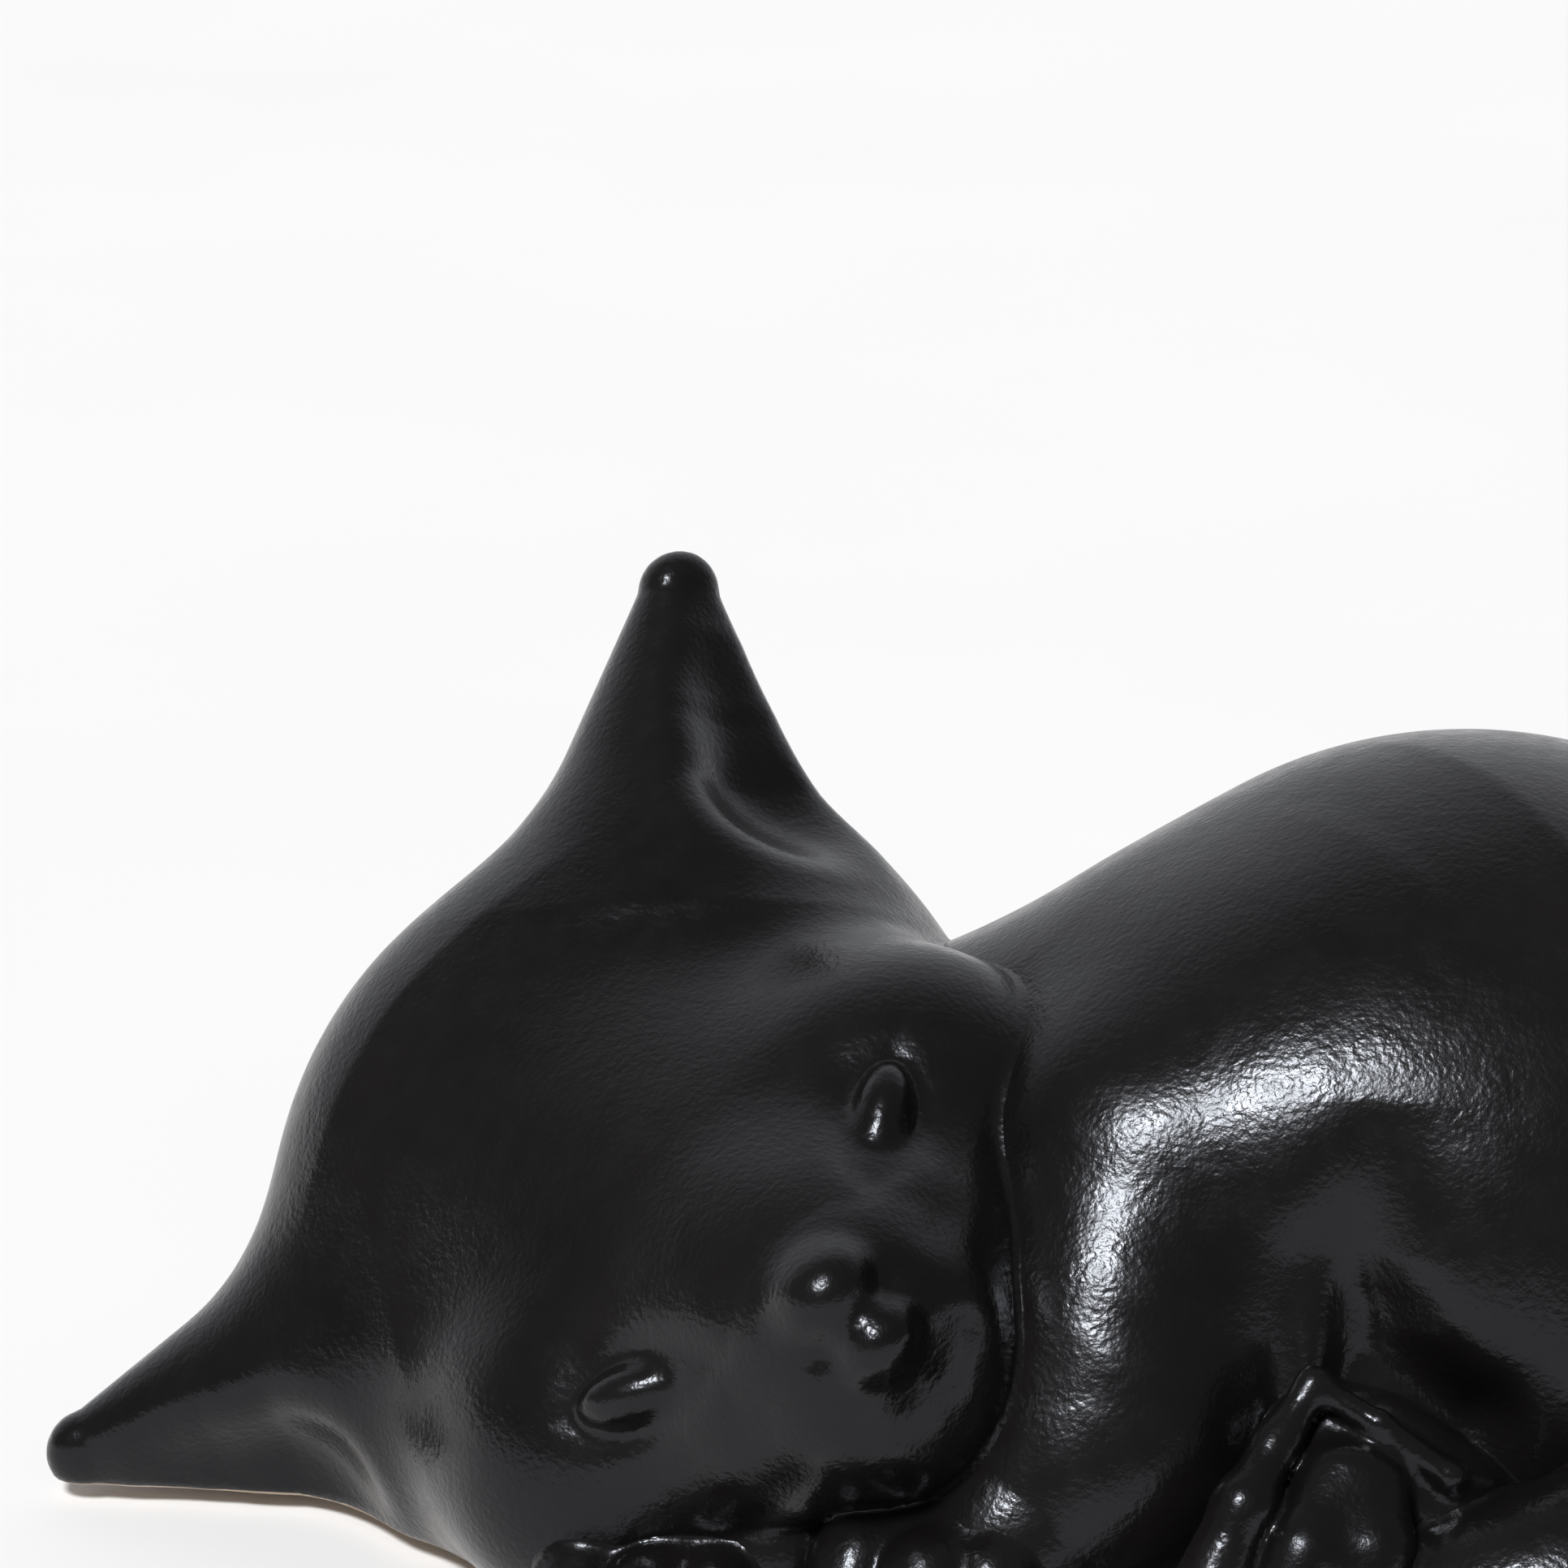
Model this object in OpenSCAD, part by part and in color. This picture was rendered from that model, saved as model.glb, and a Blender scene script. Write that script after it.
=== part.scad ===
// Ceramic figurine of a kitten that lies curled up asleep, its head rolled onto its right cheek.
// The figure is put together from hollow and solid castings, and stands on four felt pads.
// Millimetres. +Z is up, -Y is the front, and the head is at the -X end.

/* [Figure] */
// Size of the whole figure; at 1 it is about 165 mm long
figure_scale = 1; // [0.8:0.05:1.3]

/* [Head] */
// Width of the skull across the temples
skull_w = 67; // [60:1:70]
// Height of the skull from the crown to the jaw
skull_h = 60; // [56:1:64]
// Distance between the two ear tips
ear_span = 88; // [80:1:94]
// Turn of the face away from the front, towards the rump
head_turn = 9.5; // [0:0.5:20]
// Lift of the face above the level
head_lift = 20.5; // [10:0.5:30]
// Roll of the face onto its right cheek
head_roll = 44.5; // [36:0.5:52]

/* [Body] */
// Height of the back above the table
back_h = 65; // [60:1:70]
// Depth of the torso from belly to spine
torso_w = 84; // [76:1:92]
// Height of the haunch above the table
haunch_h = 48; // [42:1:54]

/* [Feet and tail] */
// Distance from toe to toe on a forepaw
forepaw_pitch = 5.3; // [5:0.1:6]
// Distance from toe to toe on the hind foot
hind_pitch = 7; // [6:0.1:8]
// Thickness of the tail
tail_d = 19; // [16:1:22]

/* [Casting] */
// Wall of the hollow castings
wall = 4; // [3:0.5:5]
// Diameter of the vent hole in the base
vent_d = 12; // [8:1:16]

/* [Felt pads] */
// Diameter of a pad
pad_d = 10; // [8:1:12]
// Thickness of a pad
pad_t = 1.5; // [1:0.5:3]

/* [Hidden] */

glaze = [0.11, 0.11, 0.12];
felt = [0.16, 0.15, 0.15];

// Blended skins: how sharply the blobs meet, and the number of rings and of points in a ring
blend = 9;
rings = 30;
ring_points = 44;
round_fn = 32;
far = 300;

// The whole figure is moved by this much, to put the origin under the middle of its box
centring = [-0.7, 3.5, 0];

// Head: its place, and its blobs as [centre, radii] in axes right, up and forward of the face
head_at = [-26, -16.9, 32.8];
head_core = [0, -2, -15];
skull = [[0, 0.7, -28], [skull_w / 2, skull_h / 2, 20]];
right_cheek = [[12.5, -9, -5], [20, 17, 16.5]];
left_cheek = [[-12.5, -9, -5], [20, 17, 16.5]];
head_blobs = [skull, right_cheek, left_cheek];
brow_line = [[[0, 5, -26], 24.5], [[0, -11.5, 20], 7.6]];
jowls = [[0, -13.5, 9], [18, 14, 15]];
lip = [[4.2, -17, 20.4], [5.4, 5, 4.6]];
chin = [[0, -23.6, 15], [6.5, 5, 6]];
nose = [[0, -10, 25.4], [4.3, 4.6, 4.6]];
eye = [[14.2, -5.1, 13], [6.6, 2.7, 2.6]];
eye_turn = [0, 21, 28];

// Ears: they stand a little more rolled than the face
ear_roll = 7.5;
ear_root = [21, 10.3, -28];
ear_tip = [ear_span / 2, 27.7, -34];
ear_root_r = 17;
ear_waist_at = 13;
ear_waist_r = 10.4;
ear_tip_r = 3.3;
ear_dish_root = [[6, -7.5, 8], 7.6];
ear_dish_tip = [[2.9, -3.6, 4.2], 3];

// Body: the point that its skin is measured from, and its blobs as [centre, radii]
heart = [20, 3, 23];
torso = [[40, 6, back_h - 38], [40, torso_w / 2, 38]];
shoulder = [[15, 2, 23.5], [28, 31, 30]];
neck = [[-6, 8, 20], [30, 25, 23.5]];
belly = [[29, 6, 12], [49, 36, 17]];
body_blobs = [torso, shoulder, neck, belly];
haunch = [[56, -11, haunch_h - 26], [24.5, 26.5, 26]];
left_foreleg = [
    [[36.6, -1.4, 33.6], 30], [[19.6, -12, 34.6], 18], [[11, -14.9, 34.8], 14],
    [[7.6, -27.4, 16.9], 13.5], [[0, -34, 11], 9],
];
right_foreleg = [[[-4, -2, 17], 15], [[-12, -18, 12], 11], [[-19, -29, 9], 8.5]];
opening_r = 11;

// Forepaws: wrist, knuckle and tip of the middle of each as [place, radius], and their toes
left_forepaw_line = [[[-1, -33, 10.5], 7.5], [[-4.5, -41.6, 11], 3.7], [[-6.3, -48, 5.2], 3.6]];
left_toe_count = 4;
right_forepaw_line = [[[-21, -28, 8.5], 6], [[-29.4, -37.5, 7.5], 3.7], [[-30.3, -43.5, 5], 3.4]];
right_toe_count = 3;
toe_set_back = 1.7;

// Hind foot: the hock, the toes as [place, radius] out of it with the web behind them, and
// the ankle with the ridge over it
hock = [23.6, -38.4, 26.6];
hind_tip = [18.4, -51.5, 5.6];
outer_toe = [[hock, 1.3], [[17.8, -45, 19.2], 2.7], [hind_tip - [hind_pitch, -1, 0], 3.9]];
middle_toe = [[[25.4, -41.6, 20], 3.5], [[22.6, -46.6, 15.8], 3], [hind_tip, 3.9]];
inner_toe = [
    [[27.4, -41.6, 20], 3.5], [[27.6, -45.6, 15.6], 3.1], [hind_tip + [hind_pitch, 0.5, 0], 3.9],
];
web = [[[23, -38.5, 21], 2.5], [[20, -42.5, 17], 3.5], [[16, -48, 8], 3.5]];
ankle_ridge = [[hock, 1.2], [[34.5, -41.2, 20.2], 1], [[40.5, -36.4, 16.1], 1]];
ankle = [[28, -35.5, 14], [10, 7, 12.5]];
ankle_line = [[[25, -35.5, 20.5], 5.8], [[35, -38, 15.5], 5.5], [[40, -35, 13], 4]];

// Tail: an arc round the rump, from the tip by the hind foot to the root behind the back
tail_centre = [36, 1];
tail_reach = [38, 45];
tail_tip_angle = -105;
tail_root_angle = 105;
tail_steps = 18;
tail_tip_r = 5;
tail_tip_share = 0.2;
tail_tuck = 0.3;

// Places of the pads and of the vent hole on the flat base
pad_places = [[3, -4], [3, 18], [54, -12], [54, 22]];
vent_at = [30, 5];

function total(list) = list * [for (x = list) 1];
function direction(polar, around) = [sin(polar) * cos(around), sin(polar) * sin(around), cos(polar)];

// Distance from a point, along a way, to the far side of a blob that holds the point
function reach(start, way, blob) =
    let (
        from = [for (i = [0:2]) (start[i] - blob[0][i]) / blob[1][i]],
        step = [for (i = [0:2]) way[i] / blob[1][i]],
        a = step * step,
        b = from * step,
        c = from * from - 1
    )
    (sqrt(max(0, b * b - a * c)) - b) / a;

function blended(start, way, blobs) =
    pow(total([for (blob = blobs) pow(reach(start, way, blob), blend)]), 1 / blend);

// A closed skin round a point: a pole, rings of points from top to bottom, and a pole
module skin(start, blobs, inset = 0) {
    ways = concat(
        [[0, 0, 1]],
        [for (i = [1:rings - 1], j = [0:ring_points - 1])
            direction(180 * i / rings, 360 * j / ring_points)],
        [[0, 0, -1]]
    );
    points = [for (way = ways) start + way * (blended(start, way, blobs) - inset)];
    last = len(points) - 1;
    polyhedron(points, concat(
        [for (j = [0:ring_points - 1]) [0, ring_place(1, j + 1), ring_place(1, j)]],
        [for (i = [1:rings - 2], j = [0:ring_points - 1])
            [ring_place(i, j), ring_place(i, j + 1), ring_place(i + 1, j + 1), ring_place(i + 1, j)]],
        [for (j = [0:ring_points - 1])
            [last, ring_place(rings - 1, j), ring_place(rings - 1, j + 1)]]
    ));
}

function ring_place(i, j) = 1 + (i - 1) * ring_points + j % ring_points;

// A limb: neighbouring spheres [place, radius] of a list, hulled in pairs
module limb(balls, fn = round_fn / 2) {
    for (i = [0:len(balls) - 2])
        hull()
            for (ball = [balls[i], balls[i + 1]])
                translate(ball[0]) sphere(ball[1], $fn = fn);
}

module blob(shape, turn = 0) {
    translate(shape[0]) rotate(turn) scale(shape[1]) sphere(1, $fn = round_fn);
}

// Axes of the face: forward, then right and up after the roll
face_forward = [
    sin(head_turn) * cos(head_lift), -cos(head_turn) * cos(head_lift), sin(head_lift)
];
level_up = [
    -sin(head_turn) * sin(head_lift), cos(head_turn) * sin(head_lift), cos(head_lift)
];
face_up = level_up * cos(head_roll) + cross(face_forward, level_up) * sin(head_roll);
face_right = cross(face_forward, face_up);

module on_head() {
    translate(head_at)
        multmatrix([for (i = [0:2]) [face_right[i], face_up[i], face_forward[i], 0]])
            children();
}

module mirrored() {
    children();
    mirror([1, 0, 0]) children();
}

// An ear: a cone with a blunt tip, less a dish in its front on the outer side
module ear() {
    along = (ear_tip - ear_root) / norm(ear_tip - ear_root);
    difference() {
        limb([[ear_root, ear_root_r], [ear_root + along * ear_waist_at, ear_waist_r], [ear_tip, ear_tip_r]],
             round_fn);
        limb([
            [ear_root + along * 19 + ear_dish_root[0], ear_dish_root[1]],
            [ear_root + along * 30 + ear_dish_tip[0], ear_dish_tip[1]],
        ]);
    }
}

module head_solid() {
    on_head() {
        skin(head_core, head_blobs);
        limb(brow_line, round_fn);
        blob(jowls);
        blob(chin);
        blob(nose);
        rotate(-ear_roll) mirrored() ear();
        mirrored() {
            blob(lip);
            blob(eye, eye_turn);
        }
    }
}

module body_solid() {
    skin(heart, body_blobs);
    blob(haunch);
    limb(left_foreleg, round_fn);
    limb(right_foreleg);
}

// The way from the head's hollow into the body's, round which the two castings are joined
module neck_opening() {
    hull() {
        on_head() translate(head_core) sphere(opening_r, $fn = round_fn);
        translate(heart) sphere(opening_r, $fn = round_fn);
    }
}

// Everything below the flat base of the castings
module below_base() {
    translate([-far / 2, -far / 2, pad_t - far]) cube(far);
}

// A hollow, stopped one wall above the flat base
module above_foot() {
    difference() {
        children();
        translate([0, 0, wall]) below_base();
    }
}

// Toes side by side, the outer ones shorter
module toes(line, count, pitch) {
    across = cross(line[2][0] - line[1][0], [0, 0, 1]);
    side = across / norm(across);
    back = [0, toe_set_back, 0];
    for (i = [0:count - 1]) {
        place = i - (count - 1) / 2;
        shift = side * pitch * place + back * place * place;
        limb([line[0], [line[1][0] + shift, line[1][1]], [line[2][0] + shift, line[2][1]]]);
    }
}

module hind_foot_solid() {
    limb(outer_toe);
    limb(middle_toe);
    limb(inner_toe);
    limb(ankle_ridge);
    blob(ankle);
    limb(ankle_line);
    limb(web);
}

module tail_solid() {
    limb([for (i = [0:tail_steps])
        let (
            t = i / tail_steps,
            angle = tail_tip_angle + (tail_root_angle - tail_tip_angle) * t,
            out = tail_reach * (1 - tail_tuck * pow(t, 6)),
            r = tail_tip_r + (tail_d / 2 - tail_tip_r) * sin(90 * min(1, t / tail_tip_share))
        )
        [[tail_centre[0] + out[0] * cos(angle), tail_centre[1] + out[1] * sin(angle), pad_t + r],
         r]]);
}

module placed() {
    scale(figure_scale) translate(centring) children();
}

module body_shell() {
    color(glaze) placed() difference() {
        body_solid();
        head_solid();
        neck_opening();
        above_foot() skin(heart, body_blobs, wall);
        translate([vent_at[0], vent_at[1], 0]) cylinder(h = 4 * wall, d = vent_d, $fn = round_fn);
        below_base();
    }
}

module head_shell() {
    color(glaze) placed() difference() {
        head_solid();
        above_foot() on_head() skin(head_core, head_blobs, wall);
        neck_opening();
        below_base();
    }
}

module left_forepaw() {
    color(glaze) placed() difference() {
        toes(left_forepaw_line, left_toe_count, forepaw_pitch);
        head_solid();
        body_solid();
        below_base();
    }
}

module right_forepaw() {
    color(glaze) placed() difference() {
        toes(right_forepaw_line, right_toe_count, forepaw_pitch);
        toes(left_forepaw_line, left_toe_count, forepaw_pitch);
        head_solid();
        body_solid();
        below_base();
    }
}

module left_hind_foot() {
    color(glaze) placed() difference() {
        hind_foot_solid();
        body_solid();
        below_base();
    }
}

module tail() {
    color(glaze) placed() difference() {
        tail_solid();
        body_solid();
        hind_foot_solid();
        below_base();
    }
}

module felt_pad(i) {
    color(felt) placed()
        translate([pad_places[i][0], pad_places[i][1], 0]) cylinder(h = pad_t, d = pad_d, $fn = round_fn);
}

body_shell();
head_shell();
left_forepaw();
right_forepaw();
left_hind_foot();
tail();
felt_pad(0);  // felt_pad_1
felt_pad(1);  // felt_pad_2
felt_pad(2);  // felt_pad_3
felt_pad(3);  // felt_pad_4
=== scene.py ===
"""Looks of a ceramic figurine: a kitten curled up asleep, under a satin black glaze.

Each casting is sculpted as a signed distance field in millimetres, negative inside, and meshed
in the place of its CAD solid. The glaze, the bare foot and the felt pads are procedural.
"""
from math import radians

import bpy
import numpy as np
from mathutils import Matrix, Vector


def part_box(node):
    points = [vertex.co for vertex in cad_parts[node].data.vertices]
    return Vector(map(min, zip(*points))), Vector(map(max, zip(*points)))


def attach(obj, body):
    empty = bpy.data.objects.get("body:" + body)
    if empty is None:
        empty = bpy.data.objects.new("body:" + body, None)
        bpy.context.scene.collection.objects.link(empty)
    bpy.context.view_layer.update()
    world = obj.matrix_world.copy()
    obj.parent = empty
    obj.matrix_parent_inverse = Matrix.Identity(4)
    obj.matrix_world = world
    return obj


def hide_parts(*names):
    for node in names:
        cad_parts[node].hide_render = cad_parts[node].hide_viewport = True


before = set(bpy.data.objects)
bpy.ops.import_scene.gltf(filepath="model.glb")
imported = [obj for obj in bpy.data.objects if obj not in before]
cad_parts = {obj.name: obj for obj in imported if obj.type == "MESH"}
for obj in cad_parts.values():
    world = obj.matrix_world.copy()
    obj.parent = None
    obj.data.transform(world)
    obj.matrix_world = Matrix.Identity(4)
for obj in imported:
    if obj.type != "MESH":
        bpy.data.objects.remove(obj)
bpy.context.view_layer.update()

MM = 0.001


# ---------------------------------------------------------------- vectors and blends

def vec(*values):
    return np.array(values, np.float32)


def unit(v):
    return (np.asarray(v, np.float32) / np.linalg.norm(v)).astype(np.float32)


def smin(a, b, k):
    """The union of two fields, with a fillet about k wide."""
    h = np.clip(0.5 + 0.5 * (b - a) / k, 0, 1)
    return b + (a - b) * h - k * h * (1 - h)


def smax(a, b, k):
    """What two fields share, with a fillet about k wide."""
    return -smin(-a, -b, k)


def length(v):
    return np.sqrt(np.einsum("...i,...i->...", v, v))


def ellipsoid(p, centre, radii):
    q = p - vec(*centre)
    radii = vec(*radii)
    near = length(q / radii)
    return near * (near - 1) / np.maximum(length(q / (radii * radii)), 1e-6)


def cone(p, a, b, ra, rb):
    """A round-ended cone from a to b."""
    a, b = vec(*a), vec(*b)
    along, from_a = b - a, p - a
    t = np.clip(from_a @ along / (along @ along), 0, 1)
    return length(from_a - t[..., None] * along) - (ra + (rb - ra) * t)


def chain(p, balls, k):
    """Round cones through a list of (place, radius), blended by k."""
    d = None
    for (a, ra), (b, rb) in zip(balls[:-1], balls[1:]):
        link = cone(p, a, b, ra, rb)
        d = link if d is None else smin(d, link, k)
    return d


def to_line(p, places):
    """Distance to a broken line, in as many axes as its places have."""
    d = None
    for a, b in zip(places[:-1], places[1:]):
        link = cone(p, a, b, 0, 0)
        d = link if d is None else np.minimum(d, link)
    return d


def soft(distance, width):
    """1 on a line, falling off smoothly over the width."""
    return np.exp(-(distance / width) ** 2)


# ---------------------------------------------------------------- places, from the frame

def base_of(node):
    """Middle of the foot of a CAD node's box, in millimetres."""
    low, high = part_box(node)
    return vec((low.x + high.x) / 2, (low.y + high.y) / 2, low.z) / MM


# Zero of the sculpt's own millimetres, measured from the first pad; the table is at 5
SCULPT_AT = base_of("felt_pad_1") - vec(3, -4, 5)
# Height of the flat foot of every casting, on top of the pads
FOOT_Z = 6.5
FACE_AT = vec(-26.0, -16.9, 37.8)
SKULL_AT = vec(-25.0, -16.9, 37.0)
HEAD_TURN, HEAD_LIFT, HEAD_ROLL = 9.7, 20.6, 51.9
# The features are set on a little less rolled than the ears
FACE_ROLL = 44.3


def head_axes(roll):
    """Rows: right, up and forward of the face."""
    turn, lift, roll = np.radians([HEAD_TURN, HEAD_LIFT, roll])
    forward = vec(np.sin(turn) * np.cos(lift), -np.cos(turn) * np.cos(lift), np.sin(lift))
    level = vec(-np.sin(turn) * np.sin(lift), np.cos(turn) * np.sin(lift), np.cos(lift))
    up = level * np.cos(roll) + np.cross(forward, level) * np.sin(roll)
    return np.stack([np.cross(forward, up), up, forward]).astype(np.float32)


SKULL_AXES = head_axes(HEAD_ROLL)
FACE_AXES = head_axes(FACE_ROLL)


def in_axes(p, place, axes):
    return (p - place) @ axes.T


def folded(q):
    """The left side folded onto the right."""
    return np.concatenate([np.abs(q[..., :1]), q[..., 1:]], -1)


# ---------------------------------------------------------------- head

EYE_AT = vec(14.2, -5.1, 13.6)
EYE_OUT = unit([0.33, 0.40, 0.85])
EYE_SLANT = vec(0.84, 0.54, 0)
EYE_LONG = unit(EYE_SLANT - EYE_OUT * (EYE_SLANT @ EYE_OUT))
EYE_WIDE = np.cross(EYE_OUT, EYE_LONG)
EYE_HALF_LONG, EYE_HALF_WIDE = 6.6, 2.7
HOLLOW_DEPTH, HOLLOW_WIDTH = 0.55, 1.8

# Swellings, as (middle, radii). The skull is in its own axes, and the rest in the face's axes
SKULL = ((0, 2.0, -29), (36, 30, 21))
CHEEK = ((13.0, -9, -4.4), (20.0, 17.0, 16.5))
JAW = ((0, -13.5, 9), (18, 14, 15))
WHISKER_PAD = ((4.2, -17.0, 20.0), (5.4, 5.0, 4.6))
CHIN = ((0, -23.0, 14.6), (6.5, 5.0, 6.0))
NOSE_BRIDGE = ((0, -9.0, 25.4), (4.3, 3.6, 4.6))
NOSE_TIP = ((0, -14.4, 26.2), (3.8, 3.2, 4.2))
# In the eye's axes: along it, across it and out of it
EYELID = ((1.5, 0, -0.8), (4.8, 2.4, 3.0))

# From the back of the head to the front of the muzzle: two places and two radii
SNOUT = ((0, 5.0, -26.0), (0, -11.5, 20.0), 24.5, 7.6)

# Creases, as (line to the right and up, depth, width)
EYE_CREASE = ([(15, -11.4), (10.4, -13)], 0.4, 2.4)
MOUTH = ([(2.2, -20.8), (5.2, -19.2)], 0.5, 1.8)
NOSTRIL_AT, NOSTRIL_DEPTH, NOSTRIL_WIDTH = vec(3.6, -12.0), 0.5, 1.4

# Side of the head, root, tip and radius of the root
EARS = (
    (1, vec(21.9, 9.6, -29), vec(43.9, 28.3, -34), 17.0),
    (-1, vec(21.1, 11.4, -29), vec(46.4, 28.6, -34), 17.6),
)
EAR_TIP_R = 3.7
# How far along the ear, outwards and forwards each ball of the dish sits, and its radius
EAR_DISH = ((18, 9.4, 12.6, 10.0), (25, 7.4, 10.4, 8.0), (31, 4.8, 7.0, 4.6))


def almond(a, b, half_long, half_wide):
    """An eye's outline, between two arcs of radius r that cross at its corners."""
    r = (half_long ** 2 + half_wide ** 2) / (2 * half_wide)
    return np.sqrt(a * a + (np.abs(b) + r - half_wide) ** 2) - r


def ear(d, q, side, root, tip, root_r):
    """One ear, a cone with a dish in its front on the outer side."""
    q = q * vec(side, 1, 1)
    axis = unit(tip - root)
    d = smin(d, cone(q, root, tip, root_r, EAR_TIP_R), 7)
    out, front = unit([axis[1], -axis[0], 0]), vec(0, 0, 1)
    dish = [(root + axis * at + out * aside + front * ahead, r)
            for at, aside, ahead, r in EAR_DISH]
    return smax(d, -chain(q, dish, 3), 4.5)


def muzzle(d, m):
    """The tapered snout and what swells from it, each with the width of its fillet."""
    d = smin(d, cone(m, *SNOUT), 6)
    swellings = ((JAW, 6), (WHISKER_PAD, 5.0), (CHIN, 7.0), (NOSE_BRIDGE, 1.8), (NOSE_TIP, 1.8))
    for swelling, fillet in swellings:
        d = smin(d, ellipsoid(m, *swelling), fillet)
    return d


def features(d, m):
    """The low relief of the face: closed eyes in soft hollows, nostrils and mouth."""
    flat, front = m[..., :2], np.clip(m[..., 2] / 4, 0, 1)
    q = m - EYE_AT
    eye = np.stack([q @ EYE_LONG, q @ EYE_WIDE, q @ EYE_OUT], -1)
    hollow = almond(eye[..., 0], eye[..., 1], EYE_HALF_LONG, EYE_HALF_WIDE)
    near_eye = np.clip((eye[..., 2] + 9) / 4, 0, 1)
    cut = HOLLOW_DEPTH * soft(np.maximum(hollow, 0), HOLLOW_WIDTH) * near_eye
    for line, depth, width in (EYE_CREASE, MOUTH):
        cut += depth * soft(to_line(flat, line), width)
    cut += NOSTRIL_DEPTH * soft(length(flat - NOSTRIL_AT), NOSTRIL_WIDTH)
    return smin(d + front * cut, ellipsoid(eye, *EYELID), 1.2)


def head(p):
    q = in_axes(p, SKULL_AT, SKULL_AXES)
    d = ellipsoid(q, *SKULL)
    for side, root, tip, root_r in EARS:
        d = ear(d, q, side, root, tip, root_r)
    m = folded(in_axes(p, FACE_AT, FACE_AXES))
    d = smin(d, ellipsoid(m, *CHEEK), 13)
    d = features(muzzle(d, m), m)
    return flat_foot(d, p)


# ---------------------------------------------------------------- body

TORSO = ((40, 6, 32), (40, 42, 38))
SHOULDER = ((15, 2, 28.5), (28, 31, 30))
NECK = ((-6, 8, 25), (30, 25, 23.5))
BELLY = ((29, 6, 17), (49, 36, 17))
HAUNCH = ((56, -11, 27), (24.5, 26.5, 26))

# The shoulder and the near foreleg are one bent tube
NEAR_LEG = [
    ((36.6, -1.4, 38.6), 30), ((28.1, -6.3, 39.6), 24), ((19.6, -12, 39.6), 18),
    ((11, -14.9, 39.8), 14), ((9.3, -21.8, 30.2), 14), ((7.6, -27.4, 21.9), 13.5),
    ((0, -34, 16), 9),
]
FAR_LEG = [((-4, -2, 22), 15), ((-12, -18, 17), 11), ((-19, -29, 14), 8.5)]

# Lines in x and z, drawn on the near side
THIGH_FOLD = [(29.4, 50), (27.0, 40), (29.5, 32), (36, 27)]
FOLD_DEPTH, FOLD_WIDTH = 3.4, 4.4
SHIN = [(24.8, 42), (23.6, 29)]
SHIN_HEIGHT, SHIN_WIDTH = 2.6, 2.0
# Heights at which the fold and the shin begin, and how far down they reach full strength
FOLD_TOP, SHIN_TOP, FADE = 52, 42, 16


def flat_foot(d, p):
    """Cut level at the foot of the castings, with a softened rim."""
    return smax(d, FOOT_Z - p[..., 2], 0.8)


def solid_body(p):
    """The body without its hollow."""
    d = ellipsoid(p, *TORSO)
    for swelling, fillet in ((SHOULDER, 9), (NECK, 10), (BELLY, 8)):
        d = smin(d, ellipsoid(p, *swelling), fillet)
    d = smin(d, chain(p, NEAR_LEG, 4), 5)
    d = smin(d, chain(p, FAR_LEG, 5), 5)
    d = smin(d, ellipsoid(p, *HAUNCH), 5)
    # The fold before the thigh deepens downwards, and the shin stands in it as a low ridge
    seen = p[..., [0, 2]]
    near = np.clip(-p[..., 1] / 6 - 1, 0, 1) * np.clip((FOLD_TOP - p[..., 2]) / FADE, 0, 1)
    low = np.clip((SHIN_TOP - p[..., 2]) / FADE, 0, 1)
    d = d + FOLD_DEPTH * near * soft(to_line(seen, THIGH_FOLD), FOLD_WIDTH)
    d = d - SHIN_HEIGHT * near * low * soft(to_line(seen, SHIN), SHIN_WIDTH)
    return flat_foot(d, p)


# ---------------------------------------------------------------- feet and tail

def toes(p, wrist, knuckles, tips, radii):
    """Toes that fan out from the wrist, each over its knuckle to its tip."""
    d = None
    for knuckle, tip in zip(knuckles, tips):
        toe = chain(p, [(wrist, radii[0]), (knuckle, radii[1]), (tip, radii[2])], 1.5)
        d = toe if d is None else smin(d, toe, 0.8)
    return flat_foot(d, p)


def row(xs, middle, bend, front, height, spread=1, shift=0):
    """Places across a paw, set back from its front by the square of how far out they are."""
    return [(x * spread - shift, front + bend * (x - middle) ** 2, height) for x in xs]


def left_forepaw(p):
    xs, middle, bend = (-12.4, -7.1, -1.8, 3.4), -4.5, 0.06
    knuckles = row(xs, middle, bend, -41.6, 16.0)
    tips = row(xs, middle, bend, -48.0, 10.2, 1.05, 1.6)
    return toes(p, (-1, -33, 15.5), knuckles, tips, (7.5, 3.7, 3.6))


def right_forepaw(p):
    xs, middle, bend = (-34.6, -29.4, -24.2), -27, 0.07
    knuckles = row(xs, middle, bend, -37.5, 12.5)
    tips = row(xs, middle, bend, -43.5, 10.0, 1.03)
    return toes(p, (-21, -28, 13.5), knuckles, tips, (6, 3.7, 3.4))


HOCK = (23.6, -38.4, 31.6)
INSTEP = ((28, -35.5, 18), (10, 7.0, 11.5))


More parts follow.
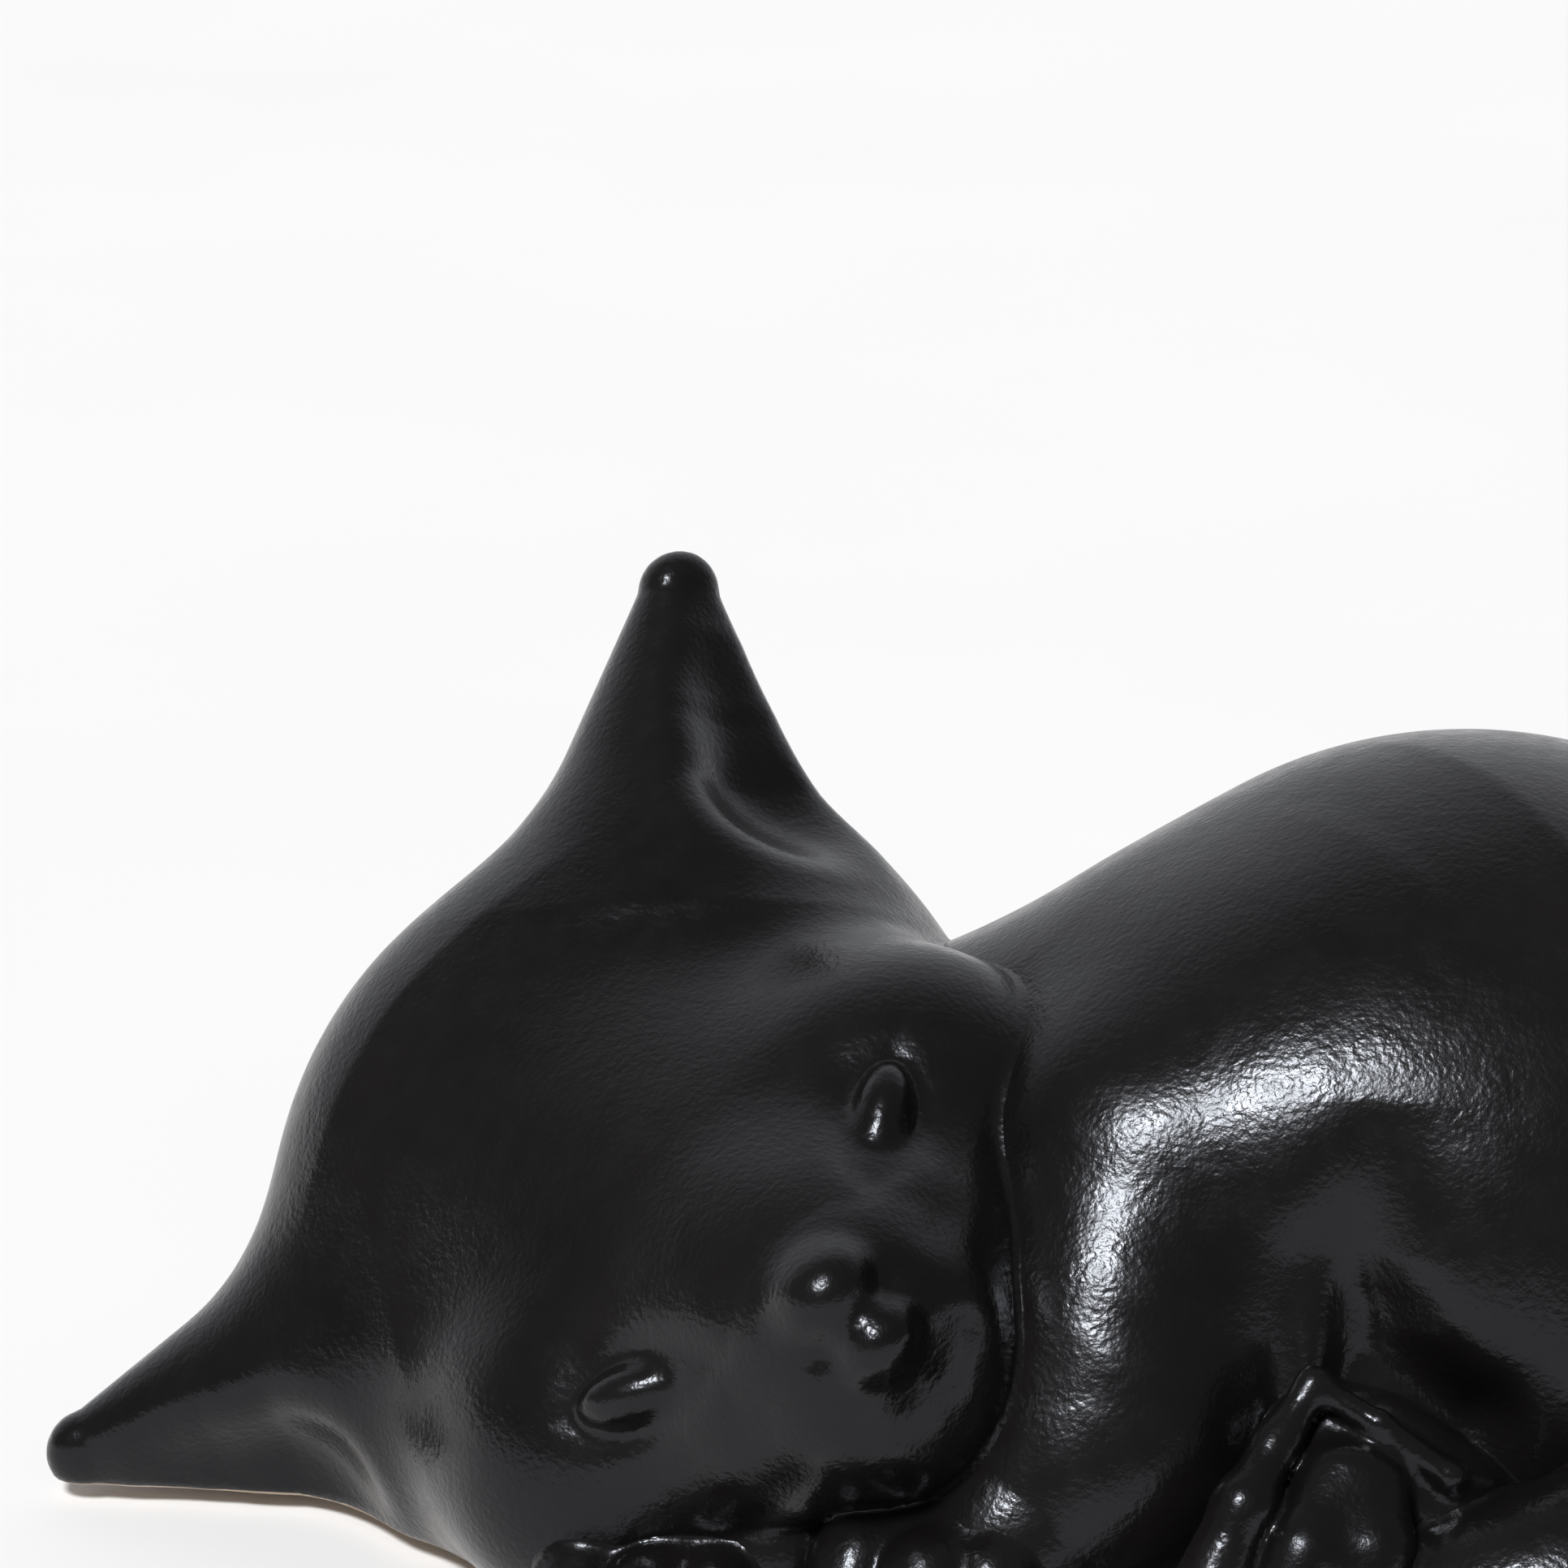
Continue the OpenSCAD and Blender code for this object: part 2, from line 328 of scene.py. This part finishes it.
def hind_foot(p):
    """Three toes on an instep, with a thin ridge from the hock down each side."""
    outer = [(HOCK, 1.3), ((20.6, -41.0, 27.8), 1.7), ((17.8, -45.0, 24.0), 2.4),
             ((11.5, -50.5, 10.6), 3.9)]
    middle = [((25.2, -41.4, 24.4), 3.4), ((22.6, -46.4, 20.6), 3.2), ((18.4, -51.5, 10.6), 3.9)]
    inner = [((27.8, -41.6, 24.0), 3.4), ((28.0, -45.6, 20.4), 3.2), ((25.4, -51.0, 10.6), 3.9)]
    ankle = [((25, -35.5, 25.0), 5.0), ((34, -37.0, 20.5), 5.2), ((38, -34.5, 18), 4)]
    web = [((23, -38.0, 26), 1.5), ((20.4, -42.0, 20), 3.0), ((16, -47, 13), 3.0)]
    ridge = [(HOCK, 1.1), ((28.8, -40.2, 29.0), 1.0), ((34.5, -41.4, 25.0), 1.0),
             ((39.5, -37.6, 22.0), 0.9)]
    d = smin(chain(p, middle, 1.5), chain(p, inner, 1.5), 2.2)
    d = smin(d, smin(chain(p, ankle, 2), ellipsoid(p, *INSTEP), 2), 1.5)
    d = smin(d, chain(p, outer, 1.5), 0.8)
    d = smin(d, chain(p, web, 2), 1.2)
    return flat_foot(smin(d, chain(p, ridge, 0.8), 1.5), p)


TAIL_AT = vec(36, 1)
TAIL_REACH = vec(38, 45)
TAIL_LINKS = 24
TAIL_FROM, TAIL_SWEEP = -105, 210
TAIL_TIP_R, TAIL_SWELL = 5.0, 4.5


def tail_ball(t):
    """Place and radius of the tail, from its tip at t = 0 to its root at t = 1."""
    angle = np.radians(TAIL_FROM + TAIL_SWEEP * t)
    # The root is drawn in under the rump, and the tail is at full thickness a fifth of the way up
    tuck = 1 - 0.3 * t ** 6
    r = TAIL_TIP_R + TAIL_SWELL * np.sin(np.radians(90 * min(1, t * 5)))
    x, y = TAIL_AT + TAIL_REACH * tuck * vec(np.cos(angle), np.sin(angle))
    return (x, y, FOOT_Z + r), r


def tail(p):
    return flat_foot(chain(p, [tail_ball(i / TAIL_LINKS) for i in range(TAIL_LINKS + 1)], 3), p)


# ---------------------------------------------------------------- castings as they meet

# Width of the crease, how far a casting runs into its neighbour, and how far it then sinks below it
CREASE, LAP, SINK = 0.9, 3.0, 0.15
CAVITY_AT, CAVITY_R = (31, 6, 31), (33, 27, 20)
VENT_AT, VENT_R, VENT_TOP = vec(30, 5), 6.0, 20.0


def joined(own, neighbours):
    """A casting that laps a little into its neighbours and meets them in a soft crease."""
    def field(p):
        d = own(p)
        others = neighbours[0](p)
        for other in neighbours[1:]:
            others = np.minimum(others, other(p))
        # Sinking away from its own surface, a casting never lies level with its neighbour's fillet
        whole = smin(d, others, CREASE) + SINK * np.clip(d / CREASE, 0, 1)
        return np.maximum(np.maximum(whole, d - CREASE), -(others + LAP))
    return field


def body(p):
    """The body's casting, with its hollow and the vent hole in its foot."""
    d = solid_body(p)
    vent = np.maximum(length(p[..., :2] - VENT_AT) - VENT_R, p[..., 2] - VENT_TOP)
    return smax(d, -smin(ellipsoid(p, CAVITY_AT, CAVITY_R), vent, 2), 1.0)


# ---------------------------------------------------------------- meshing

# Grid steps along the side of a block, and points that are worked out at once
BLOCK = 8
CHUNK = 300_000
NEWTON_STEPS = 3
LEAST_SLOPE = 0.2


def in_chunks(field, p):
    """The field at many points, a part at a time, to spare memory."""
    flat = p.reshape(-1, 3)
    parts = [field(flat[i:i + CHUNK]) for i in range(0, len(flat), CHUNK)]
    return np.concatenate(parts).reshape(p.shape[:-1])


def sampled(field, low, high, step):
    """The field on a grid, worked out in full only in the blocks near the surface."""
    blocks = np.ceil((high - low) / (BLOCK * step)).astype(int)
    corners = np.stack(np.meshgrid(*[np.arange(n) for n in blocks], indexing="ij"), -1)
    middle = in_chunks(field, (low + (corners + 0.5) * BLOCK * step).astype(np.float32))
    grid = middle
    for axis in range(3):
        grid = np.repeat(grid, BLOCK, axis)
        grid = np.concatenate([grid, grid.take([-1], axis)], axis)
    near = corners[np.abs(middle) < BLOCK * step * 1.5]
    offsets = np.stack(np.meshgrid(*[np.arange(BLOCK + 1)] * 3, indexing="ij"), -1)
    spots = near[:, None, None, None] * BLOCK + offsets
    values = in_chunks(field, (low + spots * step).astype(np.float32))
    grid[spots[..., 0], spots[..., 1], spots[..., 2]] = values
    return grid


def net(grid):
    """Quads round every grid edge that the surface crosses, and their corners in grid steps."""
    spots, cells, shape = [], [], np.array(grid.shape)
    for axis in range(3):
        along, u, v = np.roll(np.eye(3, dtype=int), -axis, 0)
        a = grid.take(np.arange(shape[axis] - 1), axis)
        b = grid.take(np.arange(1, shape[axis]), axis)
        at = np.argwhere((a < 0) != (b < 0))
        at = at[(at @ u > 0) & (at @ v > 0) & (at @ u < shape @ u - 1) & (at @ v < shape @ v - 1)]
        va, vb = a[tuple(at.T)], b[tuple(at.T)]
        spots.append(at + (va / (va - vb))[:, None] * along)
        ring = np.stack([at - u - v, at - v, at, at - u], 1)
        ring[va > 0] = ring[va > 0][:, ::-1]
        cells.append(ring)
    spots, cells = np.concatenate(spots), np.concatenate(cells)
    names = (cells[..., 0] * shape[1] + cells[..., 1]) * shape[2] + cells[..., 2]
    _, quads = np.unique(names, return_inverse=True)
    quads = quads.reshape(-1, 4)
    share = np.bincount(quads.ravel())
    corners = np.stack([
        np.bincount(quads.ravel(), np.repeat(spots[:, i], 4)) / share for i in range(3)
    ], -1)
    return corners, quads


def slope(field, p, reach=0.08):
    """The field's gradient."""
    return np.stack([
        (in_chunks(field, p + reach * e) - in_chunks(field, p - reach * e)) / (2 * reach)
        for e in np.eye(3, dtype=np.float32)
    ], -1)


def meshed(field, low, high, step):
    """Corners and quads of the surface, the corners pulled onto it by Newton's method."""
    corners, quads = net(sampled(field, low, high, step))
    p = (low + corners * step).astype(np.float32)
    for _ in range(NEWTON_STEPS):
        g = slope(field, p)
        steepness = np.maximum((g * g).sum(-1, keepdims=True), LEAST_SLOPE)
        move = in_chunks(field, p)[..., None] * g / steepness
        p = p - np.clip(move, -step, step)
    return p, quads


# ---------------------------------------------------------------- materials

# Colours as (dark, light); roughness as (least, most); textures as (scale, depth in metres)
GLAZE_COLOURS = (0.004, 0.0036, 0.0036), (0.0075, 0.0065, 0.0065)
GLAZE_ROUGHNESS = 0.19, 0.28
GLAZE_TINT = (0.88, 0.92, 1.0, 1.0)
PEEL_SCALE, PEEL_DEPTH = 1800, 0.00006
LUMP_SCALE, LUMP_DEPTH = 420, 0.00005
BISQUE_COLOURS = (0.42, 0.33, 0.25), (0.55, 0.46, 0.37)
GRAIN_SCALE, GRAIN_DEPTH = 2600, 0.00012
FELT_COLOURS = (0.02, 0.019, 0.018), (0.05, 0.047, 0.045)
FIBRE_SCALE, FIBRE_DEPTH = 3500, 0.0003
FLOOR_COLOURS = 0.86, 0.88


def new_material(name):
    material = bpy.data.materials.new(name)
    material.use_nodes = True
    tree = material.node_tree
    tree.nodes.clear()
    return material, tree


def add_node(tree, kind, **settings):
    node = tree.nodes.new(kind)
    for key, value in settings.items():
        if hasattr(node, key):
            setattr(node, key, value)
        else:
            node.inputs[key.replace("_", " ").title()].default_value = value
    return node


def noise(tree, where, scale, detail=3.0, roughness=0.5):
    node = add_node(tree, "ShaderNodeTexNoise", scale=scale, detail=detail, roughness=roughness)
    tree.links.new(where, node.inputs["Vector"])
    return node.outputs["Fac"]


def ramp(tree, value, low, high, dark, light):
    """A grey or a colour that goes from dark at low to light at high."""
    node = tree.nodes.new("ShaderNodeValToRGB")
    first, last = node.color_ramp.elements
    first.position, last.position = low, high
    first.color, last.color = [(*c, 1) if hasattr(c, "__len__") else (c, c, c, 1)
                               for c in (dark, light)]
    tree.links.new(value, node.inputs["Fac"])
    return node.outputs["Color"]


def bump(tree, height, distance, normal=None):
    node = tree.nodes.new("ShaderNodeBump")
    node.inputs["Strength"].default_value = 1.0
    node.inputs["Distance"].default_value = distance
    tree.links.new(height, node.inputs["Height"])
    if normal is not None:
        tree.links.new(normal, node.inputs["Normal"])
    return node.outputs["Normal"]


def glaze_material():
    """Satin black glaze with orange peel, over a bare buff foot where the bare attribute is 1."""
    material, tree = new_material("black_glaze")
    where = tree.nodes.new("ShaderNodeTexCoord").outputs["Object"]
    link = tree.links.new
    glaze = tree.nodes.new("ShaderNodeBsdfPrincipled")
    patches = noise(tree, where, 60, 3)
    peel = noise(tree, where, PEEL_SCALE, 2, 0.5)
    lumps = noise(tree, where, LUMP_SCALE, 2)
    link(ramp(tree, patches, 0.3, 0.75, *GLAZE_COLOURS), glaze.inputs["Base Color"])
    link(ramp(tree, noise(tree, where, 400, 3), 0.3, 0.7, *GLAZE_ROUGHNESS),
         glaze.inputs["Roughness"])
    link(bump(tree, peel, PEEL_DEPTH, bump(tree, lumps, LUMP_DEPTH)), glaze.inputs["Normal"])
    glaze.inputs["IOR"].default_value = 1.5
    glaze.inputs["Specular IOR Level"].default_value = 0.31
    glaze.inputs["Specular Tint"].default_value = GLAZE_TINT

    bisque = tree.nodes.new("ShaderNodeBsdfPrincipled")
    grain = noise(tree, where, GRAIN_SCALE, 4, 0.6)
    link(ramp(tree, noise(tree, where, 300, 4), 0.3, 0.7, *BISQUE_COLOURS),
         bisque.inputs["Base Color"])
    bisque.inputs["Roughness"].default_value = 0.9
    link(bump(tree, grain, GRAIN_DEPTH), bisque.inputs["Normal"])

    # The edge of the glaze wanders a little about the line where the attribute is one half
    bare = add_node(tree, "ShaderNodeAttribute", attribute_name="bare")
    wobble = add_node(tree, "ShaderNodeMath", operation="ADD")
    link(bare.outputs["Fac"], wobble.inputs[0])
    edge = add_node(tree, "ShaderNodeMath", operation="MULTIPLY_ADD")
    link(noise(tree, where, 180, 3), edge.inputs[0])
    edge.inputs[1].default_value, edge.inputs[2].default_value = 0.5, -0.25
    link(edge.outputs[0], wobble.inputs[1])
    mix = tree.nodes.new("ShaderNodeMixShader")
    link(ramp(tree, wobble.outputs[0], 0.47, 0.53, 0.0, 1.0), mix.inputs[0])
    link(glaze.outputs[0], mix.inputs[1])
    link(bisque.outputs[0], mix.inputs[2])
    link(mix.outputs[0], tree.nodes.new("ShaderNodeOutputMaterial").inputs["Surface"])
    return material


def felt_material():
    material, tree = new_material("felt")
    where = tree.nodes.new("ShaderNodeTexCoord").outputs["Object"]
    cloth = tree.nodes.new("ShaderNodeBsdfPrincipled")
    tree.links.new(
        ramp(tree, noise(tree, where, 1800, 5, 0.7), 0.3, 0.7, *FELT_COLOURS),
        cloth.inputs["Base Color"])
    fibres = noise(tree, where, FIBRE_SCALE, 5, 0.75)
    tree.links.new(bump(tree, fibres, FIBRE_DEPTH), cloth.inputs["Normal"])
    cloth.inputs["Roughness"].default_value = 0.95
    cloth.inputs["Sheen Weight"].default_value = 0.4
    tree.links.new(cloth.outputs[0], tree.nodes.new("ShaderNodeOutputMaterial").inputs["Surface"])
    return material


def floor_material():
    material, tree = new_material("pale_floor")
    where = tree.nodes.new("ShaderNodeTexCoord").outputs["Object"]
    paper = tree.nodes.new("ShaderNodeBsdfPrincipled")
    tree.links.new(ramp(tree, noise(tree, where, 8, 3), 0.3, 0.7, *FLOOR_COLOURS),
                   paper.inputs["Base Color"])
    paper.inputs["Roughness"].default_value = 0.8
    paper.inputs["Specular IOR Level"].default_value = 0.2
    tree.links.new(paper.outputs[0], tree.nodes.new("ShaderNodeOutputMaterial").inputs["Surface"])
    return material


# ---------------------------------------------------------------- pieces

# How far the meshing box reaches past the CAD solid's box
MARGIN = 5.0
# The foot is bare up to a lip this high, over this fade, where it faces down this much
BARE_LIP, BARE_FADE, FACES_DOWN = 1.0, 1.2, -0.3


def add_piece(name, nodes, material, p, quads, bare=None):
    """A mesh with its place in its vertices, in metres, hung under the root, hiding the CAD nodes it
    stands for.
    """
    mesh = bpy.data.meshes.new(name)
    mesh.vertices.add(len(p))
    mesh.vertices.foreach_set("co", (p * MM).astype(np.float32).ravel())
    mesh.loops.add(quads.size)
    mesh.loops.foreach_set("vertex_index", quads.ravel().astype(np.int32))
    mesh.polygons.add(len(quads))
    mesh.polygons.foreach_set("loop_start", np.arange(0, quads.size, 4, dtype=np.int32))
    mesh.polygons.foreach_set("use_smooth", np.ones(len(quads), bool))
    if bare is not None:
        mesh.attributes.new("bare", "FLOAT", "POINT").data.foreach_set("value", bare)
    mesh.update(calc_edges=True)
    mesh.validate()
    mesh.materials.append(material)
    piece = bpy.data.objects.new(name, mesh)
    bpy.context.scene.collection.objects.link(piece)
    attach(piece, "root")
    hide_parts(*nodes)
    return piece


def casting(name, node, field, step, material):
    """A glazed casting, with its foot and any hollow left bare."""
    low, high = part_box(node)
    low, high = [vec(*corner) / MM - SCULPT_AT for corner in (low, high)]
    p, quads = meshed(field, low - MARGIN, high + MARGIN, step)
    facing = slope(field, p)[:, 2]
    bare = np.clip((FOOT_Z + BARE_LIP - p[:, 2]) / BARE_FADE, 0, 1) * (facing < FACES_DOWN)
    if name == "body":
        bare = bare + bare_inside(p)
    return add_piece(name, [node], material, p + SCULPT_AT, quads,
                     bare.astype(np.float32))


def bare_inside(p):
    """1 on the walls of the hollow and of the vent hole."""
    in_vent = (length(p[:, :2] - VENT_AT) < VENT_R + 1) & (p[:, 2] < VENT_TOP)
    return (in_vent | (ellipsoid(p, CAVITY_AT, CAVITY_R) < 1.5)).astype(np.float32)


def pad_field(p, centre, radius, height):
    """A felt disc with a rounded rim, a little ragged."""
    q = p - centre
    rough = 0.06 * np.sin(q[..., 0] * 5.1 + 1.3) * np.sin(q[..., 1] * 4.7) * np.sin(q[..., 2] * 6 + 1)
    round_off = 0.35
    out = length(q[..., :2]) - radius + round_off
    up = np.abs(q[..., 2] - height / 2) - height / 2 + round_off
    outside = np.sqrt(np.maximum(out, 0) ** 2 + np.maximum(up, 0) ** 2)
    return outside + np.minimum(np.maximum(out, up), 0) - round_off + rough + 0.05


def pad(node, step, material):
    low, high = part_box(node)
    low, high = vec(*low) / MM, vec(*high) / MM
    centre = vec((low[0] + high[0]) / 2, (low[1] + high[1]) / 2, low[2])
    radius, height = (high[0] - low[0]) / 2, high[2] - low[2] + 0.1
    p, quads = meshed(lambda q: pad_field(q, centre, radius, height), low - 1, high + 1, step)
    p[:, 2] = np.maximum(p[:, 2], low[2])
    return add_piece(node, [node], material, p, quads)


# ---------------------------------------------------------------- room, light and camera

def add_floor():
    size = 6.0
    mesh = bpy.data.meshes.new("floor")
    corners = [(-size, -size, 0), (size, -size, 0), (size, size, 0), (-size, size, 0)]
    mesh.from_pydata(corners, [], [(0, 1, 2, 3)])
    mesh.materials.append(floor_material())
    floor = bpy.data.objects.new("floor", mesh)
    bpy.context.scene.collection.objects.link(floor)


CAMERA_LIFT = 18.0
RIGHT = vec(1, 0, 0)
UP = vec(0, np.sin(np.radians(CAMERA_LIFT)), np.cos(np.radians(CAMERA_LIFT)))
BACK = vec(0, -np.cos(np.radians(CAMERA_LIFT)), np.sin(np.radians(CAMERA_LIFT)))
CAMERA_FAR = 600.0
LENS = 160.0
# What the middle of the picture looks at
AIM = vec(-18.48, 20.38, 62.72)


def seen_from(right, up, back):
    """A direction given to the right, upwards and back towards the camera."""
    return unit(RIGHT * right + UP * up + BACK * back)


def looking(direction):
    return Vector(direction).to_track_quat("-Z", "Y")


def add_camera():
    data = bpy.data.cameras.new("camera")
    data.lens, data.sensor_width = LENS, 36.0
    data.clip_start, data.clip_end = 0.02, 20.0
    camera = bpy.data.objects.new("camera", data)
    camera.rotation_mode = "QUATERNION"
    camera.location = Vector((SCULPT_AT + AIM + BACK * CAMERA_FAR) * MM)
    camera.rotation_quaternion = looking(-BACK)
    bpy.context.scene.collection.objects.link(camera)
    bpy.context.scene.camera = camera


def add_sun(name, direction, strength, angle):
    data = bpy.data.lights.new(name, "SUN")
    data.energy, data.angle = strength, radians(angle)
    light = bpy.data.objects.new(name, data)
    light.rotation_mode = "QUATERNION"
    light.rotation_quaternion = looking(-direction)
    bpy.context.scene.collection.objects.link(light)


def add_world():
    world = bpy.data.worlds.new("studio")
    world.use_nodes = True
    tree = world.node_tree
    tree.nodes.clear()
    where = tree.nodes.new("ShaderNodeTexCoord").outputs["Generated"]
    split = tree.nodes.new("ShaderNodeSeparateXYZ")
    tree.links.new(where, split.inputs[0])
    sky = ramp(tree, split.outputs["Y"], 0.30, 0.75, (0.16, 0.155, 0.16), (0.62, 0.63, 0.66))
    light = tree.nodes.new("ShaderNodeBackground")
    tree.links.new(sky, light.inputs["Color"])
    tree.links.new(light.outputs[0], tree.nodes.new("ShaderNodeOutputWorld").inputs["Surface"])
    bpy.context.scene.world = world


# ---------------------------------------------------------------- the figure

# Grid steps for the large castings, the paws and the pads
STEP = 0.65
FINE = 0.4
PAD_STEP = 0.3
glaze = glaze_material()
felt = felt_material()
casting("body", "body_shell", body, STEP, glaze)
casting("head", "head_shell", joined(head, [solid_body]), STEP, glaze)
casting("left_forepaw", "left_forepaw", joined(left_forepaw, [solid_body, head]), FINE, glaze)
casting("right_forepaw", "right_forepaw",
        joined(right_forepaw, [solid_body, head, left_forepaw]), FINE, glaze)
casting("left_hind_foot", "left_hind_foot", joined(hind_foot, [solid_body]), FINE, glaze)
casting("tail", "tail", joined(tail, [solid_body, hind_foot]), STEP, glaze)
for node in ("felt_pad_1", "felt_pad_2", "felt_pad_3", "felt_pad_4"):
    pad(node, PAD_STEP, felt)

add_floor()
add_camera()
add_world()
add_sun("key", seen_from(-0.30, 0.55, 0.78), strength=3.6, angle=13)
bpy.context.scene.view_settings.view_transform = "Standard"
